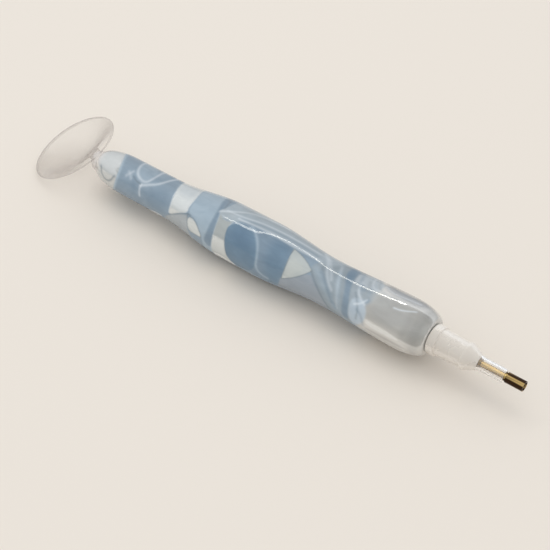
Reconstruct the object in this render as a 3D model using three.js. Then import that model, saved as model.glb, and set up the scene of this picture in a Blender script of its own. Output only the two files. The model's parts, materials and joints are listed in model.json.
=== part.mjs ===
// A drill pen for picking up small beads, lying on a table: a turned clear resin barrel, a plastic
// nib holder pushed into its nose, a brass placer tip in the holder, and a soft suction cup whose
// plug sits in a socket in the barrel's back end. Millimetres, +Z up, +X from the cup to the tip.
// The barrel's axis is level, the belly and the cup's rim touch the table at Z = 0, and the origin
// is under the middle of the bounding box.
import * as THREE from "three";

// Barrel: radii along its turned outline, and where each one lies from the back end.
const BARREL_LENGTH = 129.5;
const BACK_RADIUS = 6.45;
const BACK_ROUNDING = 12;
const BACK_END_AT = 31;
const BELLY_RADIUS = 8.75;
const BELLY_START = 57;
const BELLY_END = 70;
const WAIST_RADIUS = 6.95;
const WAIST_AT = 95;
const FRONT_RADIUS = 7.6;
const NOSE_ROUNDING = 9;
const BACK_FACE_WIDTH = 0.6;
const NOSE_FACE_MARGIN = 0.25;

// Nib holder: a hollow plastic plug with a flange against the barrel's nose.
const NOSE_BORE_RADIUS = 2.95;
const NOSE_BORE_DEPTH = 24;
const DRILL_POINT = 1.6;
const SPIGOT_LENGTH = 15;
const FLANGE_OVERHANG = 1.4;
const FLANGE_LENGTH = 2.4;
const HOLDER_BACK_RADIUS = 3.85;
const HOLDER_FRONT_RADIUS = 3.6;
const HOLDER_LENGTH = 7.6;
const STEP_RADIUS = 3.95;
const STEP_LENGTH = 0.8;
const CONE_LENGTH = 3.8;
const TUBE_WALL = 0.7;
const TUBE_LENGTH = 7.4;
const HOLDER_WALL = 1.1;
const TIP_STOP_DEPTH = 12;
const HOLDER_ROUNDING = 0.35;

// Placer tip: a stepped brass tube, its thin shank inside the holder's tube.
const SHANK_RADIUS = 1.1;
const HEAD_SHOULDER = 0.25;
const HEAD_LENGTH = 5.2;
const TIP_BORE_RADIUS = 0.75;
const TIP_MOUTH_RADIUS = 1.1;
const TIP_MOUTH_DEPTH = 1.6;
const TIP_BEVEL = 0.2;

// Suction cup: knob and collar on the barrel, then a bent neck and a shallow dish.
const SOCKET_RADIUS = 3.3;
const SOCKET_DEPTH = 9;
const STEM_RADIUS = 2.3;
const COLLAR_OVERLAP = 0.2;
const COLLAR_LENGTH = 3;
const COLLAR_ROUNDING = 0.6;
const KNOB_LENGTH = 6;
const KNOB_END_RADIUS = 1;
const NECK_RADIUS = 2.15;
const NECK_STUB = 1.2;
const DISH_RADIUS = 15.4;
const DISH_WALL = 1;
const LIP_WIDTH = 0.8;
const DISH_HALF_ANGLE = THREE.MathUtils.degToRad(48);
const NECK_FILLET = 0.35;
const TURN_FROM = 1.4;

// Clearances.
const SEAT_GAP = 0.3;
const PLUG_CLEARANCE = 0.2;
const SPIGOT_CLEARANCE = 0.15;
const SHANK_CLEARANCE = 0.15;

// Radii that follow from the pieces they fit.
const BACK_FACE_RADIUS = SOCKET_RADIUS + BACK_FACE_WIDTH;
const COLLAR_RADIUS = SOCKET_RADIUS + COLLAR_OVERLAP;
const FLANGE_RADIUS = NOSE_BORE_RADIUS + FLANGE_OVERHANG;
const NOSE_FACE_RADIUS = FLANGE_RADIUS + NOSE_FACE_MARGIN;
const HOLDER_NARROW_RADIUS = SHANK_RADIUS + SHANK_CLEARANCE;
const TUBE_RADIUS = HOLDER_NARROW_RADIUS + TUBE_WALL;
const HEAD_RADIUS = HOLDER_NARROW_RADIUS + HEAD_SHOULDER;

// The way the dish opens, and where the bent neck ends and the rim's middle lies, from the middle
// of the collar's outer face. The rim leans on the table at the belly's depth, far side raised, and
// both places move out with the collar, twice as fast as its radius, so that the dish clears it.
// The dome hangs DOME_DROP lower than the rim's lowest point.
const DISH_OPENS = new THREE.Vector3(-0.376, -0.288, 0.881).normalize();
const RIM_REACH = DISH_RADIUS * Math.sqrt(1 - DISH_OPENS.z ** 2);
const NECK_OUT = 2 * COLLAR_RADIUS - 0.5;
const RIM_OUT = 2 * COLLAR_RADIUS + 5.9;
const DOME_DROP = 0.33;
const NECK_TO_DISH = new THREE.Vector3(-NECK_OUT, 3.2, -1.6);
const NECK_TO_RIM = new THREE.Vector3(-RIM_OUT, 0.7, RIM_REACH + DOME_DROP - BELLY_RADIUS);

const BARREL_STEPS = 24;
const DISH_STEPS = 40;
const SMALL_STEPS = 28;
const DISH_STATIONS = 11;
const NECK_STATIONS = 4;

const point = (radius, along) => new THREE.Vector2(radius, along);

// A quarter of an ellipse from (fromRadius, fromAlong) to (toRadius, toAlong). It leaves along the
// radius when leavesFlat, and along the axis when not. The first point is left out.
function quarter(fromRadius, fromAlong, toRadius, toAlong, leavesFlat, steps = 6) {
  return Array.from({ length: steps }, (_, i) => {
    const angle = ((i + 1) / steps) * (Math.PI / 2);
    const rise = Math.sin(angle);
    const run = 1 - Math.cos(angle);
    const [r, a] = leavesFlat ? [rise, run] : [run, rise];
    return point(fromRadius + (toRadius - fromRadius) * r, fromAlong + (toAlong - fromAlong) * a);
  });
}

// A lathe whose axis is X: a profile's second number becomes X. The profile runs along +X outside.
function turned(profile, steps) {
  const geometry = new THREE.LatheGeometry(profile, steps);
  return geometry.rotateZ(-Math.PI / 2);
}

// A smooth rise or fall from one station to the next, level at both. The first point is left out.
function swell(from, to, steps) {
  return Array.from({ length: steps }, (_, i) => {
    const share = (i + 1) / steps;
    const ease = (1 - Math.cos(share * Math.PI)) / 2;
    return point(from.x + (to.x - from.x) * ease, from.y + (to.y - from.y) * share);
  });
}

function plastic(colour, roughness, opacity) {
  return new THREE.MeshStandardMaterial({
    color: colour, roughness, metalness: 0, transparent: opacity < 1, opacity,
  });
}

function named(name, geometry, material) {
  const mesh = new THREE.Mesh(geometry, material);
  mesh.name = name;
  return mesh;
}

// The barrel: back socket, rounded back, belly, waist, front bulge, rounded nose, nose bore.
function barrel() {
  const backEnd = point(BACK_RADIUS, BACK_END_AT);
  const bellyStart = point(BELLY_RADIUS, BELLY_START);
  const bellyEnd = point(BELLY_RADIUS, BELLY_END);
  const waist = point(WAIST_RADIUS, WAIST_AT);
  const front = point(FRONT_RADIUS, BARREL_LENGTH - NOSE_ROUNDING);
  const noseBoreFloor = BARREL_LENGTH - NOSE_BORE_DEPTH;
  const profile = [
    point(0, SOCKET_DEPTH),
    point(SOCKET_RADIUS, SOCKET_DEPTH),
    point(SOCKET_RADIUS, 0),
    point(BACK_FACE_RADIUS, 0),
    ...quarter(BACK_FACE_RADIUS, 0, BACK_RADIUS, BACK_ROUNDING, true, 8),
    backEnd,
    ...swell(backEnd, bellyStart, 9),
    bellyEnd,
    ...swell(bellyEnd, waist, 9),
    ...swell(waist, front, 7),
    ...quarter(front.x, front.y, NOSE_FACE_RADIUS, BARREL_LENGTH, false, 8),
    point(NOSE_BORE_RADIUS, BARREL_LENGTH),
    point(NOSE_BORE_RADIUS, noseBoreFloor),
    point(0, noseBoreFloor - DRILL_POINT),
  ];
  return named("barrel", turned(profile, BARREL_STEPS), plastic(0x8fb0c8, 0.08, 0.8));
}

// The nib holder, with X = 0 at its flange's back face. The bore runs through it in two steps: a
// narrow one that holds the tip's shank, and a wide one behind the stop.
const CYLINDER_END = FLANGE_LENGTH + HOLDER_LENGTH;
const CONE_START = CYLINDER_END + STEP_LENGTH;
const TUBE_START = CONE_START + CONE_LENGTH;
const TUBE_END = TUBE_START + TUBE_LENGTH;

function nibHolder() {
  const spigotRadius = NOSE_BORE_RADIUS - SPIGOT_CLEARANCE;
  const wideRadius = spigotRadius - HOLDER_WALL;
  const tipStop = TUBE_END - TIP_STOP_DEPTH;
  const round = HOLDER_ROUNDING;
  const profile = [
    point(wideRadius, -SPIGOT_LENGTH),
    point(spigotRadius - round, -SPIGOT_LENGTH),
    point(spigotRadius, -SPIGOT_LENGTH + round),
    point(spigotRadius, 0),
    point(FLANGE_RADIUS - round, 0),
    point(FLANGE_RADIUS, round),
    point(FLANGE_RADIUS, FLANGE_LENGTH - round),
    point(FLANGE_RADIUS - round, FLANGE_LENGTH),
    point(HOLDER_BACK_RADIUS, FLANGE_LENGTH),
    point(HOLDER_FRONT_RADIUS, CYLINDER_END),
    point(STEP_RADIUS, CYLINDER_END),
    point(STEP_RADIUS, CONE_START - round),
    point(STEP_RADIUS - round, CONE_START),
    point(TUBE_RADIUS + round, TUBE_START - round),
    point(TUBE_RADIUS, TUBE_START + round),
    point(TUBE_RADIUS, TUBE_END - round),
    point(TUBE_RADIUS - round, TUBE_END),
    point(HOLDER_NARROW_RADIUS, TUBE_END),
    point(HOLDER_NARROW_RADIUS, tipStop),
    point(wideRadius, tipStop - (wideRadius - HOLDER_NARROW_RADIUS)),
    point(wideRadius, -SPIGOT_LENGTH),
  ];
  return named("nib_holder", turned(profile, SMALL_STEPS), plastic(0xe6e6e2, 0.25, 0.6));
}

// The placer tip, with X = 0 where its head meets the end of the holder's tube.
function placerTip() {
  const shankLength = TIP_STOP_DEPTH - SEAT_GAP;
  const bevel = TIP_BEVEL;
  const profile = [
    point(TIP_BORE_RADIUS, -shankLength),
    point(SHANK_RADIUS - bevel, -shankLength),
    point(SHANK_RADIUS, -shankLength + bevel),
    point(SHANK_RADIUS, 0),
    point(HEAD_RADIUS - bevel, 0),
    point(HEAD_RADIUS, bevel),
    point(HEAD_RADIUS, HEAD_LENGTH - bevel),
    point(HEAD_RADIUS - bevel, HEAD_LENGTH),
    point(TIP_MOUTH_RADIUS, HEAD_LENGTH),
    point(TIP_BORE_RADIUS, HEAD_LENGTH - TIP_MOUTH_DEPTH),
    point(TIP_BORE_RADIUS, -shankLength),
  ];
  const brass = new THREE.MeshStandardMaterial({ color: 0xb98a3a, roughness: 0.28, metalness: 1 });
  return named("placer_tip", turned(profile, SMALL_STEPS), brass);
}

// The cup's plug, with X = 0 at the barrel's back face: knob in the socket, collar outside, and a
// cone that the neck bends over.
function cupPlug() {
  const knobRadius = SOCKET_RADIUS - PLUG_CLEARANCE;
  const knobEnd = SOCKET_DEPTH - SEAT_GAP;
  const knobStart = knobEnd - KNOB_LENGTH;
  const collarBack = -SEAT_GAP - COLLAR_LENGTH;
  const round = COLLAR_ROUNDING;
  const profile = [
    point(0, collarBack - NECK_STUB),
    point(NECK_RADIUS, collarBack),
    point(COLLAR_RADIUS - round, collarBack),
    ...quarter(COLLAR_RADIUS - round, collarBack, COLLAR_RADIUS, collarBack + round, true, 3),
    point(COLLAR_RADIUS, -SEAT_GAP - round),
    point(COLLAR_RADIUS - round, -SEAT_GAP),
    point(STEM_RADIUS, -SEAT_GAP),
    point(STEM_RADIUS, knobStart),
    point(knobRadius, knobStart + round),
    point(knobRadius, knobEnd - KNOB_LENGTH / 2),
    ...quarter(knobRadius, knobEnd - KNOB_LENGTH / 2, KNOB_END_RADIUS, knobEnd, false, 5),
    point(0, knobEnd),
  ];
  return named("cup_plug", turned(profile, SMALL_STEPS), plastic(0xe9e2dc, 0.2, 0.45));
}

// The dish with the rest of the neck. It is turned straight first, its second number in millimetres
// along the route: its axis then follows the bent route from the plug's stub to the rim, turning
// from the barrel's axis to the way the dish opens.
function cupDish() {
  const start = new THREE.Vector3(-NECK_STUB - SEAT_GAP, 0, 0);
  const route = new THREE.CatmullRomCurve3([start, NECK_TO_DISH, NECK_TO_RIM]);
  const rimAt = route.getLength();
  const domeRadius = DISH_RADIUS / Math.sin(DISH_HALF_ANGLE);
  const domeDepth = domeRadius * (1 - Math.cos(DISH_HALF_ANGLE));
  const outside = [];
  const inside = [];
  for (let i = 0; i <= DISH_STATIONS; i += 1) {
    const share = i / DISH_STATIONS;
    const angle = DISH_HALF_ANGLE * share;
    const radius = domeRadius * Math.sin(angle);
    const along = rimAt - domeDepth + domeRadius * (1 - Math.cos(angle));
    if (radius > NECK_RADIUS + NECK_FILLET) outside.push(point(radius, along));
    inside.unshift(point(Math.max(0, radius - LIP_WIDTH * share), along + DISH_WALL * (1 - share)));
  }
  const neckEnd = outside[0].y - NECK_FILLET;
  const neck = Array.from({ length: NECK_STATIONS + 1 }, (_, i) =>
    point(NECK_RADIUS, (neckEnd * i) / NECK_STATIONS));
  const profile = [
    point(0, 0),
    ...neck,
    ...outside,
    ...inside,
  ];
  const geometry = new THREE.LatheGeometry(profile, DISH_STEPS);
  const away = new THREE.Vector3(-1, 0, 0);
  const straight = new THREE.Quaternion().setFromUnitVectors(new THREE.Vector3(0, 1, 0), away);
  const opened = new THREE.Quaternion().setFromUnitVectors(away, DISH_OPENS).multiply(straight);
  const place = geometry.attributes.position;
  for (let i = 0; i < place.count; i += 1) {
    const along = place.getY(i);
    const turn = straight.clone().slerp(opened, THREE.MathUtils.smoothstep(along, TURN_FROM, rimAt));
    const across = new THREE.Vector3(place.getX(i), 0, place.getZ(i)).applyQuaternion(turn);
    const middle = route.getPointAt(THREE.MathUtils.clamp(along / rimAt, 0, 1));
    place.setXYZ(i, ...middle.add(across).toArray());
  }
  return named("cup_dish", geometry, plastic(0xe9e2dc, 0.2, 0.35));
}

const pen = new THREE.Group();
const holder = nibHolder();
holder.position.x = BARREL_LENGTH + SEAT_GAP;
const tip = placerTip();
tip.position.x = BARREL_LENGTH + SEAT_GAP + TUBE_END + SEAT_GAP;
const dish = cupDish();
dish.position.x = -SEAT_GAP - COLLAR_LENGTH;
pen.add(barrel(), holder, tip, cupPlug(), dish);

// The origin goes under the middle of the bounding box.
const bounds = new THREE.Box3().setFromObject(pen, true);
const middle = bounds.getCenter(new THREE.Vector3());
pen.position.set(-middle.x, -middle.y, -bounds.min.z);

export default pen;
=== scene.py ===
"""Visual model of the bead drill pen: marbled resin barrel, frosted nib holder, brass placer tip
and soft clear suction cup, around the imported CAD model. Metres, in the CAD frame."""

import json
import math

import bpy
import numpy as np
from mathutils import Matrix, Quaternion, Vector


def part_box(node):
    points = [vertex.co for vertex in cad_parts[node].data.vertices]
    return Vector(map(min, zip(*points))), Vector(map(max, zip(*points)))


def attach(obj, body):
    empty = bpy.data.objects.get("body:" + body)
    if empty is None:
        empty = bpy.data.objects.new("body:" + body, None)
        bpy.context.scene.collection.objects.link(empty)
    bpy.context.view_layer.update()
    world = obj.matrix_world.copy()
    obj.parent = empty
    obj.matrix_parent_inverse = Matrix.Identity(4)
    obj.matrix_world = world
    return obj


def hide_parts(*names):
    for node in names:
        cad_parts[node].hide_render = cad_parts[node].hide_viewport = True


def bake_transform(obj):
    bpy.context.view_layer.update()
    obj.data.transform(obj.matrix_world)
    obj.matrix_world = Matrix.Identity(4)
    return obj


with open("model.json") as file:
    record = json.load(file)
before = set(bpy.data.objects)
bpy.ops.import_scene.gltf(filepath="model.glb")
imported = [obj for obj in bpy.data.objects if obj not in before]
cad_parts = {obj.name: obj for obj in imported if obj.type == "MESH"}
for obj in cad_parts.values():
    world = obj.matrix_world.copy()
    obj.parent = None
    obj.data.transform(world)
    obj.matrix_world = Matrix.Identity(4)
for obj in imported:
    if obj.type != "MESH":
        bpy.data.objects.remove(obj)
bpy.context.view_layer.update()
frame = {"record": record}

MM = 0.001
POLE = 1e-6


# ---------------------------------------------------------------- places from the CAD frame
def box(node):
    low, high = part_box(node)
    return Vector(low), Vector(high)


def middle(node):
    low, high = box(node)
    return (low + high) / 2


BARREL_LOW, BARREL_HIGH = box("barrel")
BACK_X, NOSE_X = BARREL_LOW.x, BARREL_HIGH.x
AXIS_Y = middle("barrel").y
AXIS_Z = middle("barrel").z
BARREL_LENGTH = (NOSE_X - BACK_X) / MM
CUP_MOUNT = next(m for m in frame["record"]["mounts"] if m["name"] == "cup_rim")
DISH_OPENS = Vector(CUP_MOUNT["axis"]).normalized()


# ---------------------------------------------------------------- meshes
def ease(x, low, high):
    t = np.clip((x - low) / (high - low), 0, 1)
    return t * t * (3 - 2 * t)


def arc(start, corner, end, steps):
    """Points of a smooth bend from start to end that heads for corner, without start."""
    t = np.arange(1, steps + 1)[:, None] / steps
    start, corner, end = map(np.array, (start, corner, end))
    return [tuple(p) for p in (1 - t) ** 2 * start + 2 * t * (1 - t) * corner + t**2 * end]


def rounded(corners, steps=4):
    """An outline of (x, r, rounding) corners with each corner rounded by its own amount."""
    points = []
    for i, (x, r, size) in enumerate(corners):
        here = np.array((x, r), float)
        if size == 0 or i in (0, len(corners) - 1):
            points.append((x, r))
            continue
        before = np.array(corners[i - 1][:2], float) - here
        after = np.array(corners[i + 1][:2], float) - here
        a = here + before * (size / np.linalg.norm(before))
        b = here + after * (size / np.linalg.norm(after))
        points += [tuple(a), *arc(a, here, b, steps)]
    return points


def joined(rings, closed=False):
    """The vertices of all the rings, and the faces between each ring and the next. A ring of one
    place is a pole."""
    steps = max(map(len, rings))
    first = [sum(map(len, rings[:i])) for i in range(len(rings))]
    pairs = list(zip(range(len(rings)), range(1, len(rings))))
    if closed:
        pairs.append((len(rings) - 1, 0))
    faces = []
    for i, j in pairs:
        a, b = first[i], first[j]
        for k in range(steps):
            n = (k + 1) % steps
            if len(rings[i]) == 1:
                faces.append((a, b + n, b + k))
            elif len(rings[j]) == 1:
                faces.append((a + k, a + n, b))
            else:
                faces.append((a + k, a + n, b + n, b + k))
    return [place for ring in rings for place in ring], faces


def turned(outline, steps, origin_x):
    """A body turned about the pen's axis: outline of (x, r) in mm, x from origin_x. An end at
    r = 0 becomes a pole; an outline that ends where it starts is a closed ring."""
    angles = np.linspace(0, 2 * math.pi, steps, endpoint=False)
    closed = np.allclose(outline[0], outline[-1])
    rings = []
    for x, r in outline[:-1] if closed else outline:
        at = origin_x + x * MM
        if r < POLE:
            rings.append([(at, AXIS_Y, AXIS_Z)])
        else:
            rings.append([
                (at, AXIS_Y + r * MM * math.sin(a), AXIS_Z + r * MM * math.cos(a))
                for a in angles
            ])
    return joined(rings, closed)


def add_mesh(name, vertices, faces, material, body, replaced, sharp=40):
    mesh = bpy.data.meshes.new(name)
    mesh.from_pydata(vertices, [], faces)
    mesh.validate()
    mesh.shade_smooth()
    mesh.set_sharp_from_angle(angle=math.radians(sharp))
    piece = bpy.data.objects.new(name, mesh)
    bpy.context.collection.objects.link(piece)
    mesh.materials.append(material)
    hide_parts(*replaced)
    if body:
        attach(piece, body)
    return piece


def paint_vertices(piece, name, colours):
    attribute = piece.data.attributes.new(name, "FLOAT_COLOR", "POINT")
    attribute.data.foreach_set("color", np.asarray(colours, np.float32).ravel())


# ---------------------------------------------------------------- material helpers
def new_material(name):
    material = bpy.data.materials.new(name)
    material.use_nodes = True
    tree = material.node_tree
    return material, tree, tree.nodes["Principled BSDF"]


def noise(tree, scale, detail=3, stretch=(1, 1, 1), distortion=0.0):
    place = tree.nodes.new("ShaderNodeTexCoord")
    mapping = tree.nodes.new("ShaderNodeMapping")
    mapping.inputs["Scale"].default_value = stretch
    texture = tree.nodes.new("ShaderNodeTexNoise")
    texture.inputs["Scale"].default_value = scale
    texture.inputs["Detail"].default_value = detail
    texture.inputs["Distortion"].default_value = distortion
    tree.links.new(place.outputs["Object"], mapping.inputs[0])
    tree.links.new(mapping.outputs[0], texture.inputs["Vector"])
    return texture.outputs["Fac"]


def ramp(tree, source, stops):
    node = tree.nodes.new("ShaderNodeValToRGB")
    elements = node.color_ramp.elements
    while len(elements) < len(stops):
        elements.new(0.5)
    for element, (where, colour) in zip(elements, stops):
        element.position = where
        element.color = (*colour, 1) if len(colour) == 3 else colour
    tree.links.new(source, node.inputs[0])
    return node.outputs[0]


def remap(tree, source, low, high, to_low, to_high):
    node = tree.nodes.new("ShaderNodeMapRange")
    for socket, value in zip(node.inputs[1:5], (low, high, to_low, to_high)):
        socket.default_value = value
    tree.links.new(source, node.inputs[0])
    return node.outputs[0]


def bump(tree, height, strength, distance):
    node = tree.nodes.new("ShaderNodeBump")
    node.inputs["Strength"].default_value = strength
    node.inputs["Distance"].default_value = distance
    tree.links.new(height, node.inputs["Height"])
    return node.outputs[0]


def painted(tree, name):
    """The colour and the alpha of a vertex attribute."""
    node = tree.nodes.new("ShaderNodeAttribute")
    node.attribute_name = name
    return node.outputs["Color"], node.outputs["Alpha"]


def blended(tree, how, amount, base, top):
    node = tree.nodes.new("ShaderNodeMix")
    node.data_type = "RGBA"
    node.blend_type = how
    node.inputs[0].default_value = amount
    tree.links.new(base, node.inputs[6])
    tree.links.new(top, node.inputs[7])
    return node.outputs[2]


def grey(value):
    return (value, value, value)


# ---------------------------------------------------------------- barrel
BACK_RADIUS, BACK_FACE_RADIUS, BACK_ROUNDING, BACK_END = 6.45, 3.9, 12, 31
BELLY_RADIUS, BELLY_START, BELLY_END = 8.75, 57, 70
WAIST_RADIUS, WAIST_AT = 6.95, 95
FRONT_RADIUS, NOSE_FACE_RADIUS, NOSE_ROUNDING = 7.6, 4.6, 9
SOCKET_RADIUS, SOCKET_DEPTH = 3.3, 9
NOSE_BORE_RADIUS, NOSE_BORE_DEPTH, DRILL_POINT = 2.95, 24, 1.6
STATION, BEND_STATIONS, BARREL_STEPS = 0.35, 44, 192
MOUTH_EDGE, BACK_EDGE, NOSE_EDGE = 0.4, 0.3, 0.2
FACE_MARGIN, FLOOR_MARGIN, BORE_MARGIN = 0.1, 1, 0.45
INNER_TINT, INNER_CLEAR = (0.8, 0.82, 0.82), 0.5


def barrel_radius(x):
    """Outside radius in mm, x in mm from the back face."""
    stations = [
        (BACK_ROUNDING, BACK_RADIUS), (BACK_END, BACK_RADIUS), (BELLY_START, BELLY_RADIUS),
        (BELLY_END, BELLY_RADIUS), (WAIST_AT, WAIST_RADIUS),
        (BARREL_LENGTH - NOSE_ROUNDING, FRONT_RADIUS),
    ]
    for (x0, r0), (x1, r1) in zip(stations, stations[1:]):
        if x0 <= x <= x1:
            return r0 + (r1 - r0) * (1 - math.cos(math.pi * (x - x0) / (x1 - x0))) / 2
    if x < BACK_ROUNDING:
        share = 1 - x / BACK_ROUNDING
        return BACK_FACE_RADIUS + (BACK_RADIUS - BACK_FACE_RADIUS) * math.sqrt(1 - share**2)
    share = (x - BARREL_LENGTH + NOSE_ROUNDING) / NOSE_ROUNDING
    return NOSE_FACE_RADIUS + (FRONT_RADIUS - NOSE_FACE_RADIUS) * math.sqrt(max(0, 1 - share**2))


def barrel_outline():
    bend = np.linspace(0, math.pi / 2, BEND_STATIONS)
    back = [BACK_ROUNDING * (1 - math.cos(a)) for a in bend]
    nose = [BARREL_LENGTH - NOSE_ROUNDING * (1 - math.sin(a)) for a in bend]
    straight = np.arange(BACK_ROUNDING + STATION, BARREL_LENGTH - NOSE_ROUNDING, STATION)
    along = back + list(straight) + nose
    floor = BARREL_LENGTH - NOSE_BORE_DEPTH
    return [
        (SOCKET_DEPTH, 0), (SOCKET_DEPTH, SOCKET_RADIUS), (MOUTH_EDGE, SOCKET_RADIUS),
        (0, SOCKET_RADIUS + BACK_EDGE), *[(x, barrel_radius(x)) for x in along],
        (BARREL_LENGTH, NOSE_BORE_RADIUS + NOSE_EDGE),
        (BARREL_LENGTH - NOSE_EDGE, NOSE_BORE_RADIUS),
        (floor, NOSE_BORE_RADIUS), (floor - DRILL_POINT, 0),
    ]


# Marbling, with some light and shade painted in. Places on the barrel's skin are (x, h) in mm: x
# from the back face, h round the skin from a line FACING up from the -Y side, up positive.
FACING = math.radians(46.5)


def rgb(red, green, blue):
    """A colour from 0-255 values, as the shaders want it."""
    share = np.array((red, green, blue)) / 255
    return np.where(share > 0.04045, ((share + 0.055) / 1.055) ** 2.4, share / 12.92)


BLUE, LIGHT_BLUE, DEEP_BLUE = rgb(141, 159, 174), rgb(166, 184, 197), rgb(108, 134, 155)
SLATE, GREY, CLEAR = rgb(126, 146, 163), rgb(158, 167, 172), rgb(196, 203, 202)
VEIL, WHITE, DARK_LINE = rgb(172, 184, 192), rgb(222, 230, 236), rgb(104, 117, 126)
NOSE_CLEAR = rgb(206, 205, 200)
# painted shade: how much darker the top of the barrel is painted
TOP_SHADE_PAINTED = 0.22


def stroke(x, h, points):
    """Distance in mm to a line through the points."""
    nearest = np.full(x.shape, 1e9)
    for (x0, h0), (x1, h1) in zip(points, points[1:]):
        dx, dh = x1 - x0, h1 - h0
        if dx == dh == 0:
            continue
        t = np.clip(((x - x0) * dx + (h - h0) * dh) / (dx * dx + dh * dh), 0, 1)
        nearest = np.minimum(nearest, np.hypot(x - x0 - t * dx, h - h0 - t * dh))
    return nearest


def smoothed(points, closed, rounds=2):
    """The same outline with its corners cut round."""
    for _ in range(rounds):
        cut = []
        after = points[1:] + points[:1] if closed else points[1:]
        for (x0, h0), (x1, h1) in zip(points, after):
            cut.append((0.75 * x0 + 0.25 * x1, 0.75 * h0 + 0.25 * h1))
            cut.append((0.25 * x0 + 0.75 * x1, 0.25 * h0 + 0.75 * h1))
        points = cut if closed else [points[0], *cut[1:-1], points[-1]]
    return points


def curl(x, h, *points):
    return stroke(x, h, smoothed(list(points), False))


def region(x, h, *points):
    """Signed distance in mm to a closed outline, below 0 inside."""
    inside = np.zeros(x.shape, bool)
    loop = smoothed(list(points), True)
    loop.append(loop[0])
    for (x0, h0), (x1, h1) in zip(loop, loop[1:]):
        if h1 != h0:
            crosses = (h0 > h) != (h1 > h)
            inside ^= crosses & (x < x0 + (h - h0) * (x1 - x0) / (h1 - h0))
    edge = stroke(x, h, loop)
    return np.where(inside, -edge, edge)


def cover(distance, soft=0.2):
    return 1 - ease(distance, -soft, soft)


def line(distance, width):
    return np.exp(-((distance / width) ** 2))


class Skin:
    """The resin's colour and clearness at each place, painted layer by layer; some layers are
    painted light and shade.
    """

    def __init__(self, x, around, radius):
        self.x, self.around = x, around
        self.h = around * radius
        self.tint = np.tile(BLUE, (len(x), 1))
        self.clear = np.zeros(len(x))

    def paint(self, colour, amount, clear=0.0):
        amount = np.clip(amount, 0, 1)
        self.tint += (colour - self.tint) * amount[:, None]
        self.clear += (clear - self.clear) * amount

    def patch(self, colour, *points, clear=0.0, soft=0.2, amount=1.0, rim=None, rim_width=0.22):
        distance = region(self.x, self.h, *points)
        self.paint(colour, amount * cover(distance, soft), clear)
        if rim is not None:
            self.paint(rim, 0.6 * line(distance, rim_width))

    def wisp(self, colour, width, amount, *points):
        self.paint(colour, 0.85 * amount * line(curl(self.x, self.h, *points), 1.2 * width))


def back_section(skin):
    x, h, around = skin.x, skin.h, skin.around
    cap = 12.4 - 5 * (1 - np.cos(around + math.radians(12)))
    skin.paint(SLATE, 0.5 * cover(cap - x, 1) * ease(-x, -34, -18) * ease(-h, -2, 4))
    skin.paint(rgb(184, 189, 188), cover(x - cap, 0.3), 0.3)
    skin.paint(LIGHT_BLUE, 0.9 * line(x - cap - 0.2, 0.55))
    skin.paint(rgb(212, 205, 199), 0.8 * cover(x - 2.4, 1.4), 0.45)
    skin.paint(DEEP_BLUE, 0.55 * ease(h, 4, 9) * ease(x, 27, 29) * ease(-x, -36, -34))
    skin.wisp(DARK_LINE, 0.35, 0.8, (4, -1.2), (5, -3.6), (7.1, -5.2), (9.6, -4.6), (11.2, -2.2))
    skin.patch(LIGHT_BLUE, (18, 2.7), (17.4, 5.2), (16.8, 8.6), (21, 9.4), (25.3, 5.5),
               (25.2, 2.2), (22.8, 0.6), (19.6, 0.9), soft=0.5, amount=0.5)
    skin.wisp(WHITE, 0.4, 0.6, (16.9, 9), (17.4, 5.5), (19.4, 1.4), (24.3, 0.2), (26.2, 4.5),
              (25, 9.5))
    skin.wisp(WHITE, 0.42, 0.62, (22.6, -1), (24.6, 0), (29.4, 2.3), (31.6, 7.4), (30.5, 11))
    skin.wisp(WHITE, 0.35, 0.6, (22.9, -0.5), (22.7, -2), (23.2, -4.2))
    skin.wisp(SLATE, 0.9, 0.9, (19.2, -0.2), (20, -1.4), (20.4, -3.4))
    skin.wisp(DARK_LINE, 0.25, 0.6, (18.6, 0.6), (20.4, -0.3), (22.4, -0.5))
    skin.wisp(WHITE, 0.45, 0.38, (15.8, -0.2), (16.8, 1), (17.4, 2))
    skin.wisp(WHITE, 0.45, 0.32, (15.9, 1.3), (16.8, 0.9), (18, -0.4))
    skin.patch(DEEP_BLUE, (27, 0), (33, 1.6), (35.6, -1), (35.6, -5), (31, -7), (25, -4.5),
               soft=2.2, amount=0.35)


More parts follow.
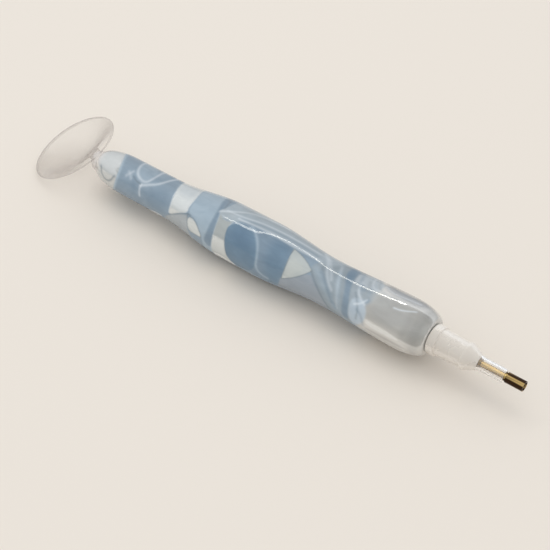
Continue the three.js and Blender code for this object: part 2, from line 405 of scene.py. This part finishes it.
def first_windows(skin):
    skin.patch(LIGHT_BLUE, (42.5, 12), (45, 3.2), (44.6, -1.4), (47.8, -1.8), (50.7, -3.7),
               (52.6, -7.2), (52, -12), (56.6, -12), (56.4, -3), (56, 0), (55.1, 3.7), (52.4, 8),
               (52, 12), amount=0.85, soft=0.3)
    skin.patch(SLATE, (52, 12), (52.6, 7.7), (54.4, 3.5), (54.6, 0), (54.2, -4), (52.8, -8),
               (56.6, -9), (56.6, -2), (56.3, 0), (55.2, 4), (54, 12), amount=0.95, soft=0.6)
    skin.wisp(DARK_LINE, 0.3, 0.6, (54.6, 9), (56.2, 3.4), (56.8, 0), (56.7, -4), (56.2, -8))
    skin.patch(CLEAR, (33, 12), (34.6, 6.9), (35.9, 2.6), (36.6, -1.5), (36.3, -5.6), (40.9, -3),
               (44.5, -1.8), (44.2, 0.7), (44.7, 3.2), (43.3, 7.9), (42.5, 12), clear=0.3,
               rim=LIGHT_BLUE)
    skin.patch(VEIL, (34, 12), (35, 6.9), (36.2, 2.6), (44, 2.6), (42.6, 8), (42, 12),
               soft=1.6, amount=0.6, clear=0.2)
    skin.patch(GREY, (35.8, -5.6), (40.8, -3.1), (44.4, -1.9), (45.4, -2.8), (45.7, -6.9),
               (47, -13), (32, -13), (33.6, -8.2), amount=0.9, soft=0.4, clear=0.15)
    skin.wisp(DARK_LINE, 0.25, 0.7, (36.4, -5.2), (40.8, -3.2), (44.6, -1.7), (46, -1.8))
    skin.wisp(DARK_LINE, 0.22, 0.6, (44.8, -2), (45.4, -4.6), (46.2, -6.9))
    skin.patch(CLEAR, (45, -2.4), (47.6, -2.2), (50.1, -3.8), (52.6, -7.1), (49.4, -6.9),
               (46.1, -7), clear=0.25, rim=DARK_LINE, rim_width=0.15)
    # painted light: a bright caustic glint at the barrel's lower edge
    skin.patch(rgb(236, 238, 236), (23, -11.5), (26, -8.8), (30.5, -7.6), (33, -8.4), (28, -11.5),
               amount=0.8, soft=0.5)


def eye_section(skin):
    x, h = skin.x, skin.h
    skin.patch(CLEAR, (54.6, 5), (56.2, 1.9), (56.7, -1.4), (56.7, -4.6), (56.2, -8.4),
               (55.6, -13), (65, -13), (62.6, -7.7), (61.8, -4.6), (61.1, -1.7), (60.8, 0.9),
               (62, 5), clear=0.3, rim=LIGHT_BLUE)
    skin.patch(SLATE, (66, 4.2), (71, 4), (83.4, 4.2), (83.5, 0), (83.2, -4), (82.6, -8),
               (80, -11), (72, -12), (68, -6), (66, 0), amount=1, soft=0.3)
    skin.patch(DEEP_BLUE, (76, 5), (83.6, 5), (83.6, -8), (78, -11), (76.5, -3), amount=0.9,
               soft=2.4)
    skin.patch(DEEP_BLUE, (60.6, 0.1), (61, -2.3), (61.8, -5.7), (62.4, -8.6), (64.6, -11.5),
               (70, -11), (73.6, -7.4), (73.8, -2.9), (72.5, 0.2), (69.8, 2.6), (66.1, 3.7),
               (63.3, 3), (61.3, 1.6), soft=0.25)
    skin.patch(rgb(96, 124, 148), (63, 2), (68, 2.6), (71, 0), (70.5, -3), (65, -3.5), (62.5, -1),
               amount=0.7, soft=1.6)
    skin.wisp(LIGHT_BLUE, 0.4, 0.85, (67.5, 4), (70, 2.8), (72.7, 0), (73.9, -3.3), (73.9, -7),
              (76, -8.8), (78, -9))
    skin.wisp(DARK_LINE, 0.2, 0.45, (60.7, 0.6), (61, -2.3), (61.9, -5.7), (62.6, -8.6))
    # painted light: a bright caustic glint at the barrel's lower edge
    skin.patch(rgb(240, 241, 238), (55.5, -13.6), (56.4, -10.6), (59, -10), (65.5, -10.8),
               (64, -13.6), amount=0.85, soft=0.4)
    veil = region(x, h, (54.9, 3.6), (56.4, 6.4), (56, 12), (58, 20), (98, 18), (97, 9),
                  (96.4, 4.2), (88.3, 4), (80.7, 4.1), (72.5, 4.9), (67.6, 4.4), (63.5, 4),
                  (60.6, 2), (57.6, 1.8))
    skin.paint(VEIL, 0.92 * cover(veil, 0.3))
    streaks = (
        (GREY, 0.5, 0.5, (55.4, 3.6), (58.6, 4.2), (62, 7.2), (63, 11)),
        (WHITE, 0.35, 0.6, (55.2, 3.6), (59.6, 6), (65, 9.6), (76, 11)),
        (WHITE, 0.3, 0.55, (57, 5), (63, 5.4), (70, 7), (84, 7.6), (98, 6)),
        (SLATE, 0.35, 0.5, (63, 4.7), (70, 5.9), (80, 6.4), (90, 5.6)),
        (GREY, 0.8, 0.5, (60, 9), (68, 8.6), (80, 9.2), (94, 8)),
        (WHITE, 0.3, 0.6, (62, 4.3), (69, 4.6), (78, 5.1), (92, 4.4), (104, 4)),
        (SLATE, 0.2, 0.5, (57.4, 1.9), (60.8, 2.2), (64, 4), (68, 4.4), (74, 4.5)),
    )
    for colour, width, amount, *points in streaks:
        skin.wisp(colour, width, amount, *points)


def waist_section(skin):
    skin.patch(rgb(148, 160, 168), (90, 1), (92.4, 5), (97, 9), (104, 12), (107, 10), (106, 3),
               (106.8, -1.3), (108, -7), (106, -12), (98, -12), (96.1, -4.1), (93, -1.4), soft=0.4)
    skin.patch(rgb(152, 161, 170), (82.8, -5.4), (87, -3.6), (91.2, -0.1), (93.4, -1.9),
               (96.2, -4.3), (98.8, -7.6), (99, -13), (80, -13), (82.2, -8), soft=0.35)
    skin.patch(CLEAR, (82.9, 4), (83.1, 4), (86, 3.3), (89.2, 2), (91.4, 0.6), (91.4, 0.6),
               (89.8, -1.3), (86.9, -3.7), (83, -6), (83, -6), (83.5, -2.3), (83.4, 0), clear=0.12,
               soft=0.15, rim=DARK_LINE, rim_width=0.16)
    skin.patch(rgb(203, 208, 204), (83.9, 1.6), (86.6, 1), (89.4, 0), (87, -2.6), (84, -4.6),
               soft=0.9, amount=0.75, clear=0.1)
    skin.patch(VEIL, (90, 4), (95, 4), (99, 9), (104, 12), (90, 13), amount=0.7, soft=0.8)
    skin.wisp(DARK_LINE, 0.3, 0.55, (91.2, 0.5), (93.5, -1.6), (96.4, -4.2), (99.4, -7.6))
    diagonals = (
        (LIGHT_BLUE, 0.9, 0.45, (92, 2), (95.6, -0.6), (99.5, -3.6), (102.5, -7)),
        (WHITE, 0.4, 0.4, (90.6, 8.5), (94, 5), (96.6, 0.6), (99.4, -1.6)),
        (WHITE, 0.4, 0.35, (92, 8), (95.8, 4), (98, 1)),
        (WHITE, 0.3, 0.35, (98, 6), (100, 2), (101.6, -2), (102.6, -6)),
        (DARK_LINE, 0.4, 0.35, (93.4, 3), (97, -0.6), (100.6, -5)),
        (VEIL, 0.5, 0.5, (96, 9), (99, 4.6), (100.4, 0), (102, -4)),
        (SLATE, 0.5, 0.5, (94, 1.6), (98, -1.4), (102, -6)),
        (LIGHT_BLUE, 0.6, 0.5, (99, 4), (101, 0), (103, -4), (104, -7)),
    )
    for colour, width, amount, *points in diagonals:
        skin.wisp(colour, width, amount, *points)
    skin.patch(SLATE, (99.8, 11), (103.2, 9), (104, 2.9), (105, 0), (106.4, -3.4), (107, -8),
               (104.2, -8), (104, -2.2), (102.7, 1.4), (100.4, 5), amount=0.9, soft=0.5)
    skin.patch(DEEP_BLUE, (100.4, 9), (102.6, 8), (103.4, 3), (102.4, 2.4), (100.8, 5), amount=0.6,
               soft=0.8)


def nose_section(skin):
    x, h, around = skin.x, skin.h, skin.around
    edge = 110.5 + 1.6 * np.sin(2 * around + 0.8) + 0.7 * np.sin(5 * around)
    skin.paint(NOSE_CLEAR, cover(edge - x, 1.2), 0.28)
    skin.patch(VEIL, (103.4, 9), (104.2, 3), (105.3, 0), (106.6, -3), (108, -1), (110.6, 0.8),
               (112.4, 3.6), (112, 9), amount=0.9, soft=0.5, clear=0.15)
    skin.patch(rgb(186, 200, 211), (105.8, -1), (108.6, 0.2), (111.6, -1.2), (112.4, -4.4),
               (110.4, -8), (107, -9), amount=0.9, soft=0.5)
    for colour, width, amount, *points in (
        (WHITE, 0.35, 0.6, (106.2, 4.6), (107, 1.6), (108.6, 0.2), (110.6, -0.8)),
        (SLATE, 0.5, 0.5, (104.6, 8), (106, 4), (107.6, 2.4), (109.8, 3.2)),
        (WHITE, 0.3, 0.45, (108, 9), (108.8, 6), (110.4, 4.4), (112, 4.8)),
        (DARK_LINE, 0.3, 0.45, (106.6, 1), (108.4, -1.2), (109.4, -3.6), (109.2, -6)),
        (WHITE, 0.3, 0.7, (107.6, -2), (109.6, -1), (110.6, 0.6)),
        (GREY, 0.5, 0.7, (108, 6), (109.4, 3), (109, 0.6), (111.4, 1.6)),
        (GREY, 0.35, 0.6, (110, 9), (111, 5.6), (114, 4.4), (118, 4.8)),
        (SLATE, 0.4, 0.5, (109, -3), (111, -4.4), (111.8, -7)),
        (GREY, 0.4, 0.5, (112, 8), (116, 6.6), (122, 7.4)),
        (LIGHT_BLUE, 0.6, 0.5, (104.6, -9), (108, -10), (112, -9.6)),
    ):
        skin.wisp(colour, width, amount, *points)
    for shade, amount, soft, *points in (
        (rgb(220, 222, 218), 0.7, 1.2, (111.2, 4.8), (116.6, 4.8), (117.6, 1.4), (115, 0.2),
         (111.6, 0.8)),
        # painted shade: a darker band at the nose's rounded end
        (rgb(128, 130, 127), 0.45, 1.4, (125.5, 9), (129, 9), (129, -9), (125.5, -9), (126.6, 0)),
        # painted shade: the clear nose is painted darker on top
        (rgb(142, 145, 148), 0.85, 1.2, (111, 14), (111.6, 7.6), (116, 5.6), (124, 5.4), (127, 9),
         (126, 13)),
        (rgb(176, 177, 176), 0.5, 1.5, (112, 4), (120, 4.4), (124, 3), (124, -2), (113, -3)),
        # painted shade: darker again towards the nose's rounded end
        (rgb(140, 141, 138), 0.35, 1.2, (122.8, 4), (126, 5), (127.4, 0), (126, -6), (122.6, -5),
         (123.6, 0)),
        # painted light: a bright caustic band low on the nose
        (rgb(222, 223, 219), 0.85, 0.3, (112.2, -4.4), (113.4, -4.7), (123.2, -5), (123, -6.2),
         (112.6, -6.3)),
        (rgb(120, 121, 119), 0.45, 0.5, (112.4, -7), (124, -6.8), (126, -8), (112.8, -8.2)),
    ):
        skin.patch(shade, *points, soft=soft, amount=amount, clear=0.22)
    # painted highlight: a thin second specular line along the nose
    skin.wisp(WHITE, 0.22, 0.8, (118.6, 2.2), (120.6, 2.4), (122.6, 3.2), (124.4, 4.2))
    skin.wisp(WHITE, 0.3, 0.5, (112.6, 7.6), (115, 6.2), (119, 6.6), (123.6, 7.4))
    skin.wisp(DARK_LINE, 0.3, 0.5, (113, 9.6), (116, 7.6), (120, 8), (124.4, 9.4))


def far_side(skin):
    """Broad lobes of blue, white and clear round the back and under the belly."""
    back = ease(np.abs(skin.around), 1.75, 2.0)
    shift = (skin.around % (2 * math.pi) - math.pi) * 8
    lobes = (
        (CLEAR, 0.3, 24, 2, 6, 3.4, 30),
        (DEEP_BLUE, 0, 36, -3, 7, 4, -20),
        (LIGHT_BLUE, 0, 47, 3, 6, 4, 35),
        (CLEAR, 0.3, 60, -2, 7, 3.6, 15),
        (DEEP_BLUE, 0, 72, 3.5, 7, 3.2, -25),
        (VEIL, 0, 84, -3, 8, 3, 10),
        (SLATE, 0, 95, 2, 6, 4, 40),
        (LIGHT_BLUE, 0, 105, -2, 5, 3, -30),
        (SLATE, 0, 14, -2, 4, 3, 0),
    )
    for colour, clear, x0, h0, a, b, turn in lobes:
        c, s = math.cos(math.radians(turn)), math.sin(math.radians(turn))
        wave = 0.8 * np.sin(skin.x * 0.4 + shift * 0.5)
        along, across = skin.x - x0 + wave, shift - h0 + 0.5 * wave
        distance = (np.hypot((along * c + across * s) / a, (across * c - along * s) / b) - 1) * b
        skin.paint(colour, back * cover(distance, 0.35), clear)
        skin.paint(WHITE, 0.55 * back * line(distance, 0.35))


def marbling_with_painted_light(x, around, radius):
    """Colour and clearness of the resin's skin at each vertex, with painted light and shade among
    the layers and painted shade darkening the top.
    """
    skin = Skin(x, around, radius)
    back_section(skin)
    first_windows(skin)
    eye_section(skin)
    waist_section(skin)
    far_side(skin)
    nose_section(skin)
    # painted shade: the top of the barrel is painted darker
    painted_shade_on_top = ease(skin.around, 0, 0.9) * ease(-skin.around, -2.6, -1.9)
    return skin.tint * (1 - TOP_SHADE_PAINTED * painted_shade_on_top)[:, None], skin.clear


def resin_material():
    material, tree, shader = new_material("marbled_resin")
    tint, clear = painted(tree, "swirl_and_painted_light")
    wisps = noise(tree, 260, 5, stretch=(0.35, 1, 1), distortion=1.4)
    cloud = ramp(tree, wisps, [(0.3, grey(0.38)), (0.7, grey(0.62))])
    tree.links.new(blended(tree, "SOFT_LIGHT", 0.5, tint, cloud), shader.inputs["Base Color"])
    tree.links.new(clear, shader.inputs["Transmission Weight"])
    polish = noise(tree, 900, 2)
    tree.links.new(remap(tree, polish, 0.3, 0.7, 0.03, 0.08), shader.inputs["Roughness"])
    shader.inputs["IOR"].default_value = 1.5
    tree.links.new(bump(tree, polish, 0.02, 0.0002), shader.inputs["Normal"])
    return material


def make_barrel():
    vertices, faces = turned(barrel_outline(), BARREL_STEPS, BACK_X)
    piece = add_mesh("resin_barrel", vertices, faces, resin_material(), "barrel", ["barrel"])
    places = np.array([v.co for v in piece.data.vertices])
    x = (places[:, 0] - BACK_X) / MM
    across, up = (places[:, 1] - AXIS_Y) / MM, (places[:, 2] - AXIS_Z) / MM
    radius = np.hypot(across, up)
    around = np.arctan2(up, -across) - FACING
    around = (around + math.pi) % (2 * math.pi) - math.pi
    tint, glassy = marbling_with_painted_light(x, around, np.maximum(radius, 1))
    at_back = (radius < BACK_FACE_RADIUS - FACE_MARGIN) & (x < SOCKET_DEPTH + FLOOR_MARGIN)
    inner = (radius < NOSE_BORE_RADIUS + BORE_MARGIN) | at_back
    tint[inner] = INNER_TINT
    glassy[inner] = INNER_CLEAR
    paint_vertices(piece, "swirl_and_painted_light", np.column_stack([tint, glassy]))


# ---------------------------------------------------------------- nib holder and placer tip
def plastic_material(name, scale, dull, bright, roughness, transmission):
    material, tree, shader = new_material(name)
    cloud = noise(tree, scale, 3)
    tree.links.new(ramp(tree, cloud, [(0.3, dull), (0.7, bright)]), shader.inputs["Base Color"])
    tree.links.new(remap(tree, cloud, 0.3, 0.7, *roughness), shader.inputs["Roughness"])
    shader.inputs["Transmission Weight"].default_value = transmission
    shader.inputs["IOR"].default_value = 1.46
    return material


SPIGOT_LENGTH, SPIGOT_RADIUS, SPIGOT_BORE, HOLDER_BORE = 15, 2.8, 1.7, 1.25
FLANGE_BACK, FLANGE_FRONT, FLANGE_RADIUS = -0.1, 2.4, 4.35
SLEEVE_RADIUS, STEP_AT, STEP_WIDTH, STEP_RADIUS = 3.87, 10, 0.8, 3.95
TUBE_AT, TUBE_CLEAR_AT, TUBE_RADIUS = 14.6, 14.3, 1.98
SLEEVE_TAPER, TUBE_TAPER, BORE_NARROWS, BORE_RING = 0.27, 0.06, 0.5, 0.4
HOLDER_STEPS = 96


def make_holder():
    low, high = box("nib_holder")
    flange_x = low.x + SPIGOT_LENGTH * MM
    tube_end = (high.x - flange_x) / MM
    outline = rounded([
        (-SPIGOT_LENGTH, SPIGOT_BORE, 0), (-SPIGOT_LENGTH, SPIGOT_RADIUS, 0.4),
        (FLANGE_BACK, SPIGOT_RADIUS, 0), (FLANGE_BACK, FLANGE_RADIUS, 0.3),
        (FLANGE_FRONT, FLANGE_RADIUS, 0.35), (FLANGE_FRONT, SLEEVE_RADIUS, 0.15),
        (STEP_AT, SLEEVE_RADIUS - SLEEVE_TAPER, 0.12), (STEP_AT, STEP_RADIUS, 0.12),
        (STEP_AT + STEP_WIDTH, STEP_RADIUS, 0.25), (TUBE_AT, TUBE_RADIUS, 0.6),
        (tube_end, TUBE_RADIUS - TUBE_TAPER, 0.3), (tube_end, HOLDER_BORE, 0.1),
        (TUBE_AT - BORE_RING, HOLDER_BORE, 0), (STEP_AT, HOLDER_BORE, 0),
        (STEP_AT - BORE_NARROWS, SPIGOT_BORE, 0), (-SPIGOT_LENGTH, SPIGOT_BORE, 0),
    ])
    vertices, faces = turned(outline, HOLDER_STEPS, flange_x)
    frosted = plastic_material("frosted_plastic", 160, (0.76, 0.71, 0.64), (0.81, 0.76, 0.69),
                               (0.24, 0.32), 0.22)
    clear = plastic_material("clear_plastic", 300, (0.93, 0.89, 0.84), (0.97, 0.94, 0.90),
                             (0.05, 0.1), 0.93)
    piece = add_mesh("holder_shell", vertices, faces, frosted, "nib_holder", ["nib_holder"],
                     sharp=35)
    piece.data.materials.append(clear)
    for face in piece.data.polygons:
        if face.center.x > flange_x + TUBE_CLEAR_AT * MM:
            face.material_index = 1


def brass_material(name, bright, painted_dark_reflection, low, high):
    """Drawn brass with lengthwise dark streaks: painted reflections of dark surroundings."""
    material, tree, shader = new_material(name)
    streaks = noise(tree, 1100, 2, stretch=(0.03, 1, 1))
    tree.links.new(ramp(tree, streaks, [(0.48, painted_dark_reflection), (0.58, bright)]),
                   shader.inputs["Base Color"])
    shader.inputs["Metallic"].default_value = 1
    tree.links.new(remap(tree, streaks, 0.3, 0.7, low, high), shader.inputs["Roughness"])
    return material


HEAD_LENGTH, HEAD_RADIUS, SHANK_RADIUS, TIP_BORE = 5.2, 1.5, 1.1, 0.75
MOUTH_RADIUS, MOUTH_DEPTH, TIP_STEPS = 1.15, 1.6, 72
HEAD_MARGIN = 0.05


def make_tip():
    low, high = box("placer_tip")
    length = (high.x - low.x) / MM
    head = length - HEAD_LENGTH
    outline = rounded([
        (0, TIP_BORE, 0), (0, SHANK_RADIUS, 0.2), (head, SHANK_RADIUS, 0),
        (head, HEAD_RADIUS, 0.2), (length, HEAD_RADIUS, 0.12), (length, MOUTH_RADIUS, 0.08),
        (length - MOUTH_DEPTH, TIP_BORE, 0), (0, TIP_BORE, 0),
    ])
    vertices, faces = turned(outline, TIP_STEPS, low.x)
    # painted reflection: the dark streaks on both parts and the head's darker brass stand for dark
    # surroundings mirrored in the metal
    bright = brass_material("bright_brass", (0.88, 0.66, 0.27), (0.10, 0.06, 0.025), 0.12, 0.2)
    painted_dark_reflection = brass_material("brass_painted_dark_reflection", (0.50, 0.35, 0.14), (0.04, 0.022, 0.012), 0.12, 0.22)
    piece = add_mesh("brass_tip", vertices, faces, bright, "placer_tip", ["placer_tip"],
                     sharp=35)
    piece.data.materials.append(painted_dark_reflection)
    for face in piece.data.polygons:
        if face.center.x > low.x + (head - HEAD_MARGIN) * MM:
            face.material_index = 1


# ---------------------------------------------------------------- suction cup
EDGE_POWER, FACE_ON_ALPHA, EDGE_ON_ALPHA = 2.2, 0.035, 0.75


def pvc_material():
    """Thin clear skin: seen edge on it is darker and shinier. The attribute "milk" holds its tint
    and, as alpha, how milky it is."""
    material, tree, shader = new_material("clear_pvc")
    tint, milkiness = painted(tree, "milk")
    cloud = noise(tree, 120, 3)
    shade = ramp(tree, cloud, [(0.3, grey(0.92)), (0.7, grey(1))])
    tree.links.new(blended(tree, "MULTIPLY", 1, tint, shade), shader.inputs["Base Color"])
    tree.links.new(remap(tree, cloud, 0.3, 0.7, 0.05, 0.1), shader.inputs["Roughness"])
    facing = tree.nodes.new("ShaderNodeLayerWeight")
    facing.inputs["Blend"].default_value = 0.5
    edge = tree.nodes.new("ShaderNodeMath")
    edge.operation = "POWER"
    edge.inputs[1].default_value = EDGE_POWER
    tree.links.new(facing.outputs["Facing"], edge.inputs[0])
    edge_on = remap(tree, edge.outputs[0], 0, 1, FACE_ON_ALPHA, EDGE_ON_ALPHA)
    body = tree.nodes.new("ShaderNodeMath")
    body.operation = "MAXIMUM"
    tree.links.new(edge_on, body.inputs[0])
    tree.links.new(milkiness, body.inputs[1])
    tree.links.new(body.outputs[0], shader.inputs["Alpha"])
    shader.inputs["IOR"].default_value = 1.5
    return material


COLLAR_STANDS_OUT = 3.3
DISH_HIGH = box("cup_dish")[1]
DISH_MIDDLE = middle("cup_dish")
COLLAR_X = BACK_X - COLLAR_STANDS_OUT * MM
DISH_RADIUS = (DISH_HIGH.y - DISH_MIDDLE.y) / math.sqrt(1 - DISH_OPENS.y**2) / MM
RIM_Z = DISH_HIGH.z - DISH_RADIUS * MM * math.sqrt(1 - DISH_OPENS.z**2)
NECK_RADIUS, NECK_FILLET, HALF_ANGLE = 2.15, 0.35, math.radians(48)
LIP_WIDTH, DISH_WALL, LIP_ROUNDING, LIP_INSETS = 0.8, 1.0, 0.12, (0.25, 0.55)
NECK_TO_DISH = Vector((-6.5, 3.2, -1.6)) * MM
RIM_LIFT, RIM_SAG = 0.35 * MM, Vector((0.095, -0.03, 0.02))
TURN_FROM, BEND_SHARE, COLLAR_FILLET, OVERLAP = 1.4, 0.7, 0.3, 0.1
DOME_STATIONS, NECK_STATIONS, CUP_STEPS = 30, 16, 128
DISH_TINT, COLLAR_TINT = np.array((0.44, 0.39, 0.35)), np.array((0.84, 0.80, 0.78))
COLLAR_MILK, LIP_MILK = 0.45, 0.36
COLLAR_FADE, LIP_FADE = (-6, -1), (0.9, 0.5)
PLUG_LENGTH, PLUG_END_RADIUS, PLUG_RADIUS = 12.0, 1.6, 2.3
KNOB_FROM, KNOB_TO, KNOB_RADIUS, KNOB_FLARE = 6.4, 8.6, 3.1, 0.4
COLLAR_DEPTH, COLLAR_RADIUS = 3.0, 3.5


def mixed(a, b, start, end, t):
    return ((end - t) * a + (t - start) * b) / (end - start)


def through(places, count=200):
    """A smooth line through three places, as points and the length in metres up to each."""
    first, second, last = (np.array(p) for p in places)
    p = [2 * first - second, first, second, last, 2 * last - second]
    points = []
    for a, b, c, d in (p[:4], p[1:]):
        knots = np.cumsum([0, *(np.linalg.norm(v) ** 0.5 for v in (b - a, c - b, d - c))])
        for t in np.linspace(knots[1], knots[2], count)[:, None]:
            ab = mixed(a, b, knots[0], knots[1], t)
            bc = mixed(b, c, knots[1], knots[2], t)
            cd = mixed(c, d, knots[2], knots[3], t)
            abc, bcd = mixed(ab, bc, knots[0], knots[2], t), mixed(bc, cd, knots[1], knots[3], t)
            points.append(mixed(abc, bcd, knots[1], knots[2], t))
    points = np.array(points)
    steps = np.linalg.norm(np.diff(points, axis=0), axis=1)
    return points, np.concatenate([[0], np.cumsum(steps)])


def make_cup():
    collar = Vector((COLLAR_X, AXIS_Y, AXIS_Z))
    rim_middle = Vector((DISH_MIDDLE.x, DISH_MIDDLE.y, RIM_Z + RIM_LIFT))
    points, lengths = through([collar, collar + NECK_TO_DISH, rim_middle])
    rim_at = lengths[-1] / MM
    swing = Vector((-1, 0, 0)).rotation_difference((DISH_OPENS + RIM_SAG).normalized())

    def on_route(along):
        return Vector([np.interp(along * MM, lengths, points[:, k]) for k in range(3)])

    def ring(along, r):
        """A ring of the cup, along in mm from the collar's outer face, below 0 in the pen."""
        centre = collar - Vector((along, 0, 0)) * MM if along < 0 else on_route(along)
        turn = Quaternion().slerp(swing, float(ease(along, TURN_FROM, rim_at)))
        u, v = turn @ Vector((0, 1, 0)), turn @ Vector((0, 0, 1))
        if r < POLE:
            return [tuple(centre)]
        angles = np.linspace(0, 2 * math.pi, CUP_STEPS, endpoint=False)
        return [tuple(centre + (u * math.sin(a) + v * math.cos(a)) * r * MM) for a in angles]

    plug = rounded([
        (PLUG_LENGTH, 0, 0), (PLUG_LENGTH, PLUG_END_RADIUS, 0.5), (KNOB_TO, KNOB_RADIUS, 1.2),
        (KNOB_FROM, KNOB_RADIUS, 0.6), (KNOB_FROM - KNOB_FLARE, PLUG_RADIUS, 0.3),
        (COLLAR_DEPTH, PLUG_RADIUS, 0.2), (COLLAR_DEPTH, COLLAR_RADIUS, 0.7),
        (0.02, COLLAR_RADIUS, 0.9), (0.01, NECK_RADIUS + COLLAR_FILLET, 0.1),
    ])
    dome_radius = DISH_RADIUS / math.sin(HALF_ANGLE)
    dome_at = rim_at - dome_radius * (1 - math.cos(HALF_ANGLE))
    outside, inside = [], []
    for share in np.linspace(0, 1, DOME_STATIONS):
        r = dome_radius * math.sin(HALF_ANGLE * share)
        along = dome_at + dome_radius * (1 - math.cos(HALF_ANGLE * share))
        if r > NECK_RADIUS + NECK_FILLET:
            outside.append((along, r))
        inside.insert(0, (along + DISH_WALL * (1 - share), max(0.0, r - LIP_WIDTH * share)))
    neck = outside[0][0] - NECK_FILLET
    stem = [
        (neck * t, NECK_RADIUS + COLLAR_FILLET * float(ease(-t, -0.15, 0)))
        for t in np.linspace(0.02, 1, NECK_STATIONS)
    ]
    lip = [(rim_at + LIP_ROUNDING, DISH_RADIUS - inset) for inset in LIP_INSETS]

    material = pvc_material()

    def add_part(name, outline, node, body):
        rings, milk = [], []
        for along, r in outline:
            rings.append(ring(along, r))
            white = float(ease(-along, *COLLAR_FADE))
            edge = float(ease(r, *(DISH_RADIUS - inset for inset in LIP_FADE)))
            tint = DISH_TINT + (COLLAR_TINT - DISH_TINT) * white
            milk += [(*tint, COLLAR_MILK * white + LIP_MILK * edge)] * len(rings[-1])
        vertices, faces = joined(rings)
        outward = [(face[0], *face[:0:-1]) for face in faces]
        piece = add_mesh(name, vertices, outward, material, body, [node], sharp=60)
        paint_vertices(piece, "milk", milk)
        return piece

    neck_part = add_part("cup_stem", [(-x, r) for x, r in plug] + stem, "cup_plug", None)
    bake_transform(neck_part)
    add_part("suction_dish", [(neck - OVERLAP, NECK_RADIUS), *outside, *lip, *inside], "cup_dish",
             "cup_dish")


# ---------------------------------------------------------------- stage
TABLE_SIZE, TABLE_TINT, TABLE_ROUGHNESS = 1.5, (0.79, 0.73, 0.655, 1), 0.55
SKY_STRENGTH = 1.05
SKY = [
    (0.0, (0.50, 0.505, 0.51)),
    (0.25, (0.80, 0.81, 0.825)),
    (0.8, (0.95, 0.96, 0.975)),
]
LAMPS = (  # name, place from the part, size in metres, power, colour, seen in reflections
    ("ceiling", (0, 0.16, 0.9), (0.4, 0.3), 0.3, (1, 0.95, 0.86), False),
    ("tube", (-0.38, 0.15, 0.75), (0.6, 0.032), 0.55, (1, 0.96, 0.88), True),
)


def make_table():
    mesh = bpy.data.meshes.new("table")
    size = TABLE_SIZE
    mesh.from_pydata([(-size, -size, 0), (size, -size, 0), (size, size, 0), (-size, size, 0)], [],
                     [(0, 1, 2, 3)])
    material, _, shader = new_material("table_top")
    shader.inputs["Base Color"].default_value = TABLE_TINT
    shader.inputs["Roughness"].default_value = TABLE_ROUGHNESS
    mesh.materials.append(material)
    floor = bpy.data.objects.new("table", mesh)
    bpy.context.collection.objects.link(floor)


def make_light():
    world = bpy.data.worlds.new("studio")
    bpy.context.scene.world = world
    world.use_nodes = True
    tree = world.node_tree
    background = tree.nodes["Background"]
    direction = tree.nodes.new("ShaderNodeTexCoord")
    split = tree.nodes.new("ShaderNodeSeparateXYZ")
    tree.links.new(direction.outputs["Generated"], split.inputs[0])
    tree.links.new(ramp(tree, split.outputs["Z"], SKY), background.inputs[0])
    background.inputs[1].default_value = SKY_STRENGTH

    centre = Vector((0, AXIS_Y, 0))
    for name, place, size, power, colour, mirrored in LAMPS:
        data = bpy.data.lights.new(name, "AREA")
        data.shape = "RECTANGLE"
        data.size, data.size_y = size
        data.energy = power
        data.color = colour
        light = bpy.data.objects.new(name, data)
        light.location = centre + Vector(place)
        light.visible_glossy = mirrored
        light.rotation_euler = (-Vector(place)).to_track_quat("-Z", "Y").to_euler()
        bpy.context.collection.objects.link(light)


SENSOR_WIDTH, FOCAL_SHARE = 36, 1000 / 550
AZIMUTH, ELEVATION, DISTANCE = math.radians(40.35), math.radians(40), 0.2878
AIM = Vector((17.0, -8.2, 8.8)) * MM


def make_camera():
    data = bpy.data.cameras.new("camera")
    data.sensor_width = SENSOR_WIDTH
    data.lens = SENSOR_WIDTH * FOCAL_SHARE
    camera = bpy.data.objects.new("camera", data)
    level = math.cos(ELEVATION)
    away = Vector((math.sin(AZIMUTH) * level, -math.cos(AZIMUTH) * level, math.sin(ELEVATION)))
    camera.location = AIM + away * DISTANCE
    camera.rotation_euler = (-away).to_track_quat("-Z", "Y").to_euler()
    bpy.context.collection.objects.link(camera)
    bpy.context.scene.camera = camera
    bpy.context.scene.view_settings.view_transform = "Standard"


make_barrel()
make_holder()
make_tip()
make_cup()
make_table()
make_light()
make_camera()
